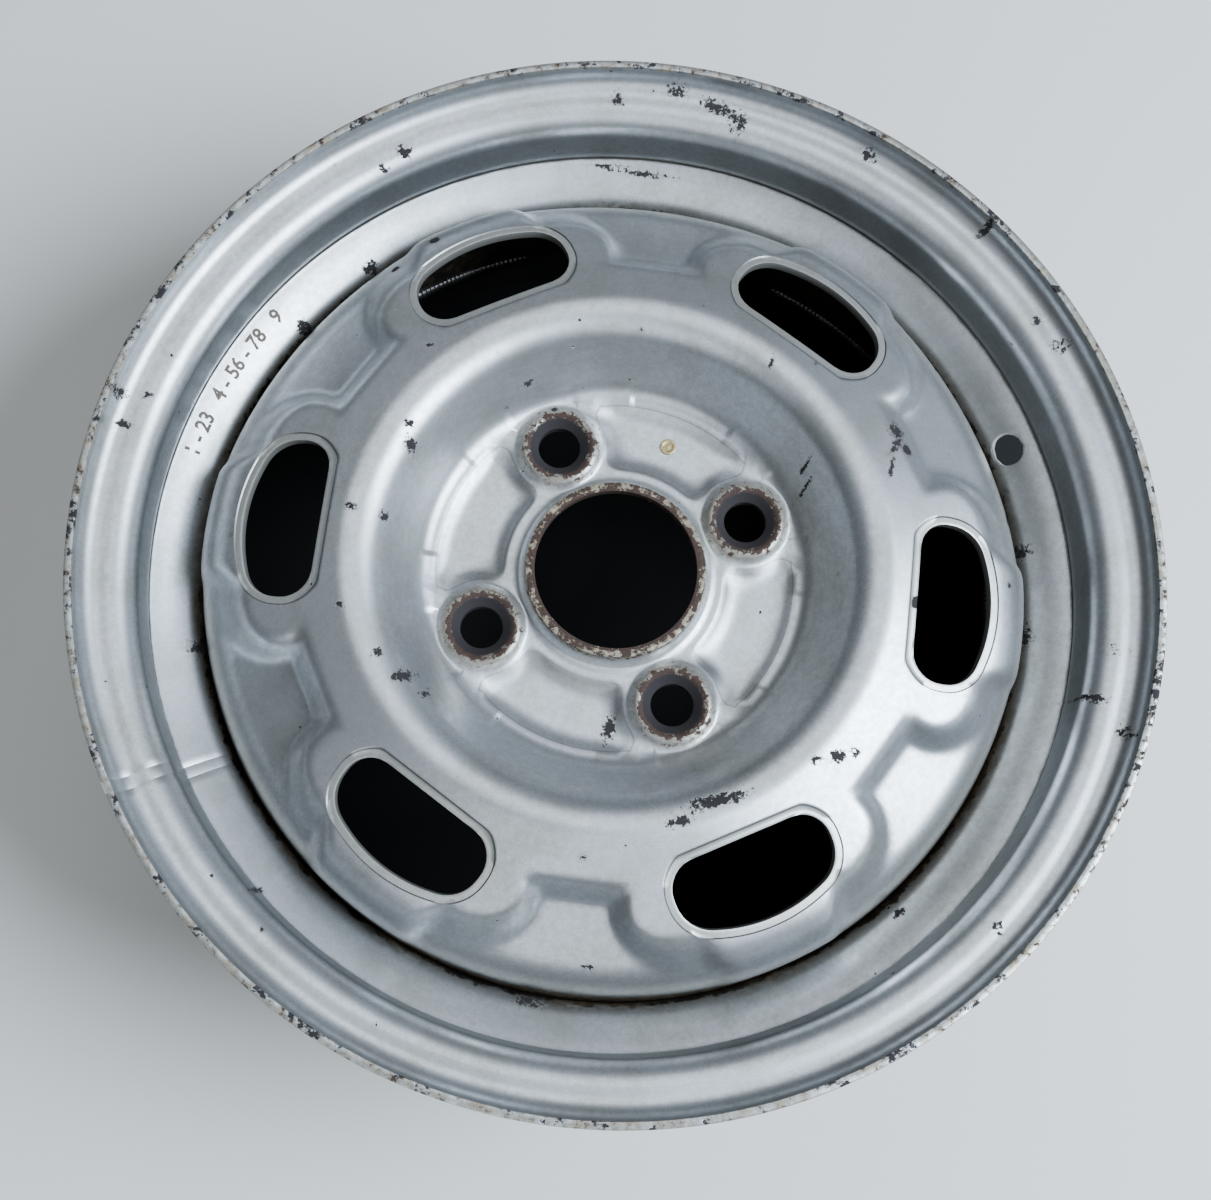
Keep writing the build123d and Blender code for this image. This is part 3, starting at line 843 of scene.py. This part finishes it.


# %% Where the disc wears, and its painted shade
def disc_masks(tree, at):
    """Rust at the bolt seats, the bore's lip and the flange; painted shade low at the shoulder, in the gap
    below it, at the coined steps and on the hollows' walls; a dark line round each hollow; bare dark cones.
    """
    hole = attribute(tree, "hole_gap")
    ragged = calc(tree, "MULTIPLY_ADD", noise(tree, at["Place"], 0.55, 5.0, 0.65), 5.0, -2.5)
    seat = calc(tree, "ADD", hole, ragged)
    cone = ramp(tree, calc(tree, "ADD", hole, times(tree, ragged, 0.35)), 2.6, 3.3, 1.0, 0.0)
    ring = band(tree, seat, 2.0, 5.2, 0.6)
    pale = band(tree, seat, 4.2, 5.4, 0.5)
    lip = calc(tree, "ADD", at["Radius"], times(tree, ragged, 0.5))
    lip_top = ramp(tree, lip, 30.9, 31.8, 1.0, 0.0)
    inner = ramp(tree, calc(tree, "ADD", at["Radius"], times(tree, ragged, 0.35)), 28.9, 29.5, 1.0, 0.0)
    foot = times(tree, ramp(tree, at["Height"], 2.0, -4.0), ramp(tree, at["Radius"], 138.0, 143.0))
    rust = times(tree, ring, 0.60)
    rust = larger(tree, rust, times(tree, lip_top, 0.54))
    rust = larger(tree, rust, times(tree, inner, 0.64))
    rust = larger(tree, rust, times(tree, foot, 0.40))
    rust = larger(tree, rust, times(tree, ramp(tree, seat, 10.5, 6.0), 0.44))
    # Painted shade: darker low on the dome's outer part, towards the gap round the disc.
    painted_shade = times(tree, ramp(tree, at["Height"], 16.0, -4.0), ramp(tree, at["Radius"], 128.0, 140.0))
    cream = larger(tree, times(tree, pale, 0.15), times(tree, lip_top, 0.8))
    gap = attribute(tree, "vent_gap")
    # Painted shadow: a dark line at the step of each vent's coined band.
    line = times(tree, band(tree, gap, 2.35, 2.8, 0.16), 0.75)
    # Painted shadow: near black down the disc's flank, in the gap next to the hoop.
    gap_shadow = ramp(tree, calc(tree, "ADD", at["Height"], ragged), 1.5, -3.5)
    gap_shadow = times(tree, gap_shadow, ramp(tree, at["Radius"], 139.0, 142.0))
    line = larger(tree, line, gap_shadow)
    cream = larger(tree, cream, times(tree, ramp(tree, gap, 2.4, 2.2), 0.35))
    hollow = attribute(tree, "hollow")
    # Painted shade: the walls of each hollow are darkened, more on the bore side.
    hollow_wall_shade = times(tree, ramp(tree, hollow, -0.2, 0.3), ramp(tree, hollow, 6.5, 1.5))
    hollow_wall_shade = times(tree, hollow_wall_shade, ramp(tree, at["Radius"], 55.0, 47.0, 0.0, 0.5))
    edge_line = times(tree, band(tree, hollow, -0.15, 0.25, 0.2), 0.45)
    line = larger(tree, line, larger(tree, hollow_wall_shade, edge_line))
    stain = times(tree, ramp(tree, seat, 9.4, 4.5), 0.9)
    return {"rust": rust, "painted_shade": painted_shade, "cream": cream, "chip": cone, "line": line, "stain": stain}


disc_paint = silver_paint("weathered_silver_disc", disc_masks, {"Spacing": 17.0, "Share": 0.34, "Size": 0.13})
disc.data.materials.clear()
disc.data.materials.append(disc_paint)

# %% Where the hoop wears, and its painted shade
def hoop_masks(tree, at):
    """Rust in the crevice round the disc and along the flange's edge, where the paint is knocked off; painted
    shade in the crevice, the gap and the crease, and inside the well.
    """
    ragged = noise(tree, at["Place"], 0.16, 5.0, 0.7)
    patchy = ramp(tree, noise(tree, at["Place"], 0.022, 2.0, 0.5), 0.42, 0.6)
    crevice = ramp(tree, at["Radius"], 144.5, 150.0, 1.0, 0.0)
    crevice = times(tree, crevice, ramp(tree, at["Height"], -16.0, -8.0))
    edge = times(tree, ramp(tree, at["Height"], RIM_OUT - 2.2, RIM_OUT - 0.5),
                ramp(tree, at["Radius"], RIM_R - 4.2, RIM_R - 2.6))
    back = ramp(tree, at["Height"], -20.0, -60.0)
    # The crease gets a painted shadow line, painted shade and some rust.
    off_crease = calc(tree, "ADD", attribute(tree, "crease"), calc(tree, "MULTIPLY_ADD", ragged, 1.6, -0.8))
    crease = band(tree, off_crease, -1.0, 1.0, 0.6)
    # Painted shadow: near black at the foot of the slope, in the gap next to the disc.
    gap_shadow = calc(tree, "ADD", at["Radius"], calc(tree, "MULTIPLY_ADD", ragged, 7.0, -3.5))
    gap_shadow = times(tree, ramp(tree, gap_shadow, 146.6, 145.6), ramp(tree, at["Height"], -20.0, -14.0))
    line = larger(tree, gap_shadow, times(tree, crease, 0.8))
    # Painted shade: inward-facing faces deep in the well are darkened, so that the inside of the wheel looks
    # dark.
    facing = add(tree, "VectorMath", {0: add(tree, "TexCoord", out=1), 1: at["Place"]},
                 operation="DOT_PRODUCT", out=1)
    cavity_shade = times(tree, ramp(tree, at["Height"], -14.0, -30.0), calc(tree, "LESS_THAN", facing, 0.0))
    line = larger(tree, line, times(tree, cavity_shade, 0.85))
    rust = larger(tree, times(tree, crevice, calc(tree, "MULTIPLY_ADD", patchy, 0.24, 0.28)),
                times(tree, edge, 0.42))
    rust = larger(tree, rust, times(tree, back, 0.18))
    rust = larger(tree, rust, times(tree, crease, times(tree, patchy, 0.34)))
    # Painted shade in the crevice round the disc and along the crease.
    return {"rust": rust, "painted_shade": larger(tree, times(tree, crevice, 0.9),
                                        times(tree, crease, 0.5)),
            "cream": times(tree, edge, ramp(tree, ragged, 0.50, 0.64, 0.0, 0.7)),
            "chip": times(tree, edge, ramp(tree, ragged, 0.46, 0.40)), "line": line,
            "stain": times(tree, times(tree, crevice, patchy), ramp(tree, ragged, 0.42, 0.56))}


hoop_paint = silver_paint("weathered_silver_hoop", hoop_masks,
                          {"Spacing": 13.0, "Share": 0.30, "Size": 0.085})
for piece in (hoop, seam, *beads):
    piece.data.materials.clear()
    piece.data.materials.append(hoop_paint)

# %% [markdown]
# ## Inspection stamp and size digits
#
# A small brass-coloured stamp lies in one hollow of the hub plate: a ring with a dot. The slope beside the
# disc carries a row of small stamped figures, neutral ones here. They are made as flat text, turned into a
# mesh, and each point is then carried onto the slope: reading goes round the axis, height up the slope.

# %% Inspection stamp
def round_badge(name, centre, section):
    """A section of distances and heights turned about an upright axis, closed at its middle."""
    turn = np.arange(48) * TURN / 48
    r, z = np.array(section).T
    x = centre[0] + r[:, None] * np.cos(turn)
    y = centre[1] + r[:, None] * np.sin(turn)
    points = np.stack([x, y, centre[2] + z[:, None] + 0 * x], -1).reshape(-1, 3)
    quads, _, _ = grid_quads(len(r), 48, closed=True)
    badge = new_mesh(name, points, quads)
    weld = badge.modifiers.new("close", "WELD")
    weld.merge_threshold = 1e-6
    return finish_sheet(badge, sharp=50)


STAMP_R = 51.5
stamp_centre = (STAMP_R * math.cos(math.pi / 4), STAMP_R * math.sin(math.pi / 4), PLATE_Z - 2.2)
stamp = round_badge("inspection_stamp", stamp_centre, [
    (0.0, 0.30), (0.5, 0.30), (0.8, 0.12), (1.7, 0.12), (1.9, 0.34), (2.6, 0.36), (2.9, 0.2), (2.95, -0.1),
    (0.0, -0.1)])


def speckled(name, dark, light, spread, gloss, metal=0.0):
    """A mottled finish: the grain's range picks a tone between two colours, and a roughness."""
    material = bpy.data.materials.new(name)
    material.use_nodes = True
    tree = material.node_tree
    shader = tree.nodes["Principled BSDF"]
    body = use(tree, grain, {"Place": use(tree, where)["Place"]})
    tone = mix_colour(tree, ramp(tree, body["Flake"], *spread), dark, light)
    tree.links.new(tone, shader.inputs["Base Color"])
    tree.links.new(ramp(tree, body["Flake"], 0.3, 0.7, *gloss), shader.inputs["Roughness"])
    shader.inputs["Metallic"].default_value = metal
    return material


brass = speckled("stamp_brass", (0.20, 0.13, 0.05, 1.0), (0.52, 0.42, 0.22, 1.0), (0.35, 0.65),
                 (0.32, 0.6), metal=0.6)
stamp.data.materials.append(brass)
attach(stamp, "root")

# %% Size digits
DIGITS_START, DIGITS_HEIGHT, DIGITS_R = math.radians(141.0), 5.4, 156.6


def bent_text(name, body, start, height, radius):
    """Thin raised text on the slope: x of the flat text goes round the axis clockwise, y goes outwards."""
    curve = bpy.data.curves.new(name + "_flat", "FONT")
    curve.body = body
    curve.extrude = 0.006
    curve.offset = 0.03
    curve.resolution_u = 2
    flat = bpy.data.objects.new(name + "_flat", curve)
    bpy.context.scene.collection.objects.link(flat)
    graph = bpy.context.evaluated_depsgraph_get()
    mesh = bpy.data.meshes.new_from_object(flat.evaluated_get(graph))
    bpy.data.objects.remove(flat)
    co = np.zeros(len(mesh.vertices) * 3, np.float32)
    mesh.vertices.foreach_get("co", co)
    x, y, z = (co.reshape(-1, 3).astype(float) * height / 0.7).T
    slope = (dense_run > CREASE_RUN) & (dense_run < CREASE_RUN + 24.0)
    base = float(dense_run[slope][np.argmin(np.abs(dense_line[slope, 0] - radius))])
    points = hoop_place(base - (y - height / 2), start - x * 0.92 / radius, z + 0.03)
    mesh.vertices.foreach_set("co", (points * MM).astype(np.float32).ravel())
    mesh.flip_normals()
    mesh.update()
    obj = bpy.data.objects.new(name, mesh)
    bpy.context.scene.collection.objects.link(obj)
    print(name, len(mesh.vertices), "points")
    return obj


digits = bent_text("size_digits", "1 - 23   4 - 56 - 78   9", DIGITS_START, DIGITS_HEIGHT, DIGITS_R)
ink = speckled("stamped_figures", (0.03, 0.022, 0.018, 1.0), (0.16, 0.11, 0.075, 1.0), (0.4, 0.66),
               (0.5, 0.8))
digits.data.materials.append(ink)
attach(digits, "root")

# %% [markdown]
# ## Camera
#
# The wheel lies on its back, and the camera stands a little to one side of its axis, about half a metre up.

# %% Camera
camera_at = np.array([-0.08498, -0.11446, 0.53324])
looks_at = np.array([-0.02071, -0.00093, 0.0])
CAMERA_ROLL = -23.205
view = (looks_at - camera_at) / np.linalg.norm(looks_at - camera_at)
level = np.cross(view, (0.0, 1.0, 0.0))
level /= np.linalg.norm(level)
upright = np.cross(level, view)
roll = math.radians(CAMERA_ROLL)
right = level * math.cos(roll) + upright * math.sin(roll)
up = upright * math.cos(roll) - level * math.sin(roll)
data = bpy.data.cameras.new("camera")
data.sensor_width = 36.0
data.lens = 46.62
data.shift_x = 0.0372
data.shift_y = 0.00148
data.clip_start, data.clip_end = 0.01, 20.0
camera = bpy.data.objects.new("camera", data)
camera.matrix_world = mathutils.Matrix([*zip(right, up, -view, camera_at), (0, 0, 0, 1)])
bpy.context.scene.collection.objects.link(camera)
bpy.context.scene.camera = camera
print("camera axes:", right.round(4), up.round(4), view.round(4))

# %% [markdown]
# ## Floor and light
#
# A plain pale floor lies under the wheel. A near-black disc on it is painted shade: it keeps the inside of
# the wheel dark where the wheel shades it, and is set off centre so that the valve hole shows it too. Most of
# the light is one large soft source on the right, with weaker ones in front and overhead, and the studio's
# own glow fills the shadows.

# %% Floor and painted shade disc
def flat_disc(name, radius, z, middle=(0.0, 0.0)):
    """A flat round sheet of one face about a point."""
    turn = np.arange(96) * TURN / 96
    mesh = bpy.data.meshes.new(name)
    mesh.from_pydata(np.stack([middle[0] + radius * np.cos(turn), middle[1] + radius * np.sin(turn),
                               0 * turn + z], -1).tolist(), [],
                     [list(range(96))])
    obj = bpy.data.objects.new(name, mesh)
    bpy.context.scene.collection.objects.link(obj)
    return obj


def plain_material(name, colour, roughness):
    """One even colour for the stage."""
    material = bpy.data.materials.new(name)
    material.use_nodes = True
    shader = material.node_tree.nodes["Principled BSDF"]
    shader.inputs["Base Color"].default_value = colour
    shader.inputs["Roughness"].default_value = roughness
    return material


floor = flat_disc("floor", 6.0, RIM_IN * MM - 0.0003)
floor.data.materials.append(plain_material("pale_floor", (0.72, 0.70, 0.67, 1.0), 0.9))
# Painted shade: a near-black disc under the wheel, seen through the vents, the bore and the valve hole.
shade_disc = flat_disc("shade_disc", 0.185, RIM_IN * MM, middle=(0.030, 0.020))
shade_disc.data.materials.append(plain_material("painted_shade_black", (0.004, 0.004, 0.004, 1.0), 1.0))


# %% Light
def soft_light(name, direction, distance, size, power, colour):
    """A round soft source at a distance from the wheel, turned to face it."""
    light = bpy.data.lights.new(name, "AREA")
    light.shape = "DISK"
    light.size = size
    light.energy = power
    light.color = colour
    obj = bpy.data.objects.new(name, light)
    aim = mathutils.Vector(direction).normalized()
    obj.location = aim * distance
    obj.rotation_euler = aim.to_track_quat("Z", "Y").to_euler()
    bpy.context.scene.collection.objects.link(obj)


def picture_direction(side, top, height):
    """A direction given by how far it leans to the view's right, to its top, and up."""
    lean = np.array([right[0], right[1], 0.0]) * side + np.array([up[0], up[1], 0.0]) * top
    return lean[0], lean[1], height


soft_light("key", picture_direction(0.85, -0.2, 1.0), 1.5, 0.85, 60.0, (0.74, 0.87, 1.0))
soft_light("front", picture_direction(-0.2, -0.8, 1.0), 1.6, 1.1, 6.5, (0.85, 0.93, 1.0))
soft_light("overhead", picture_direction(-0.1, 0.36, 1.0), 1.6, 1.2, 9.5, (0.85, 0.93, 1.0))
world = bpy.data.worlds.new("studio")
bpy.context.scene.world = world
world.use_nodes = True
world.node_tree.nodes["Background"].inputs["Color"].default_value = (1.0, 0.96, 0.9, 1.0)
world.node_tree.nodes["Background"].inputs["Strength"].default_value = 0.03
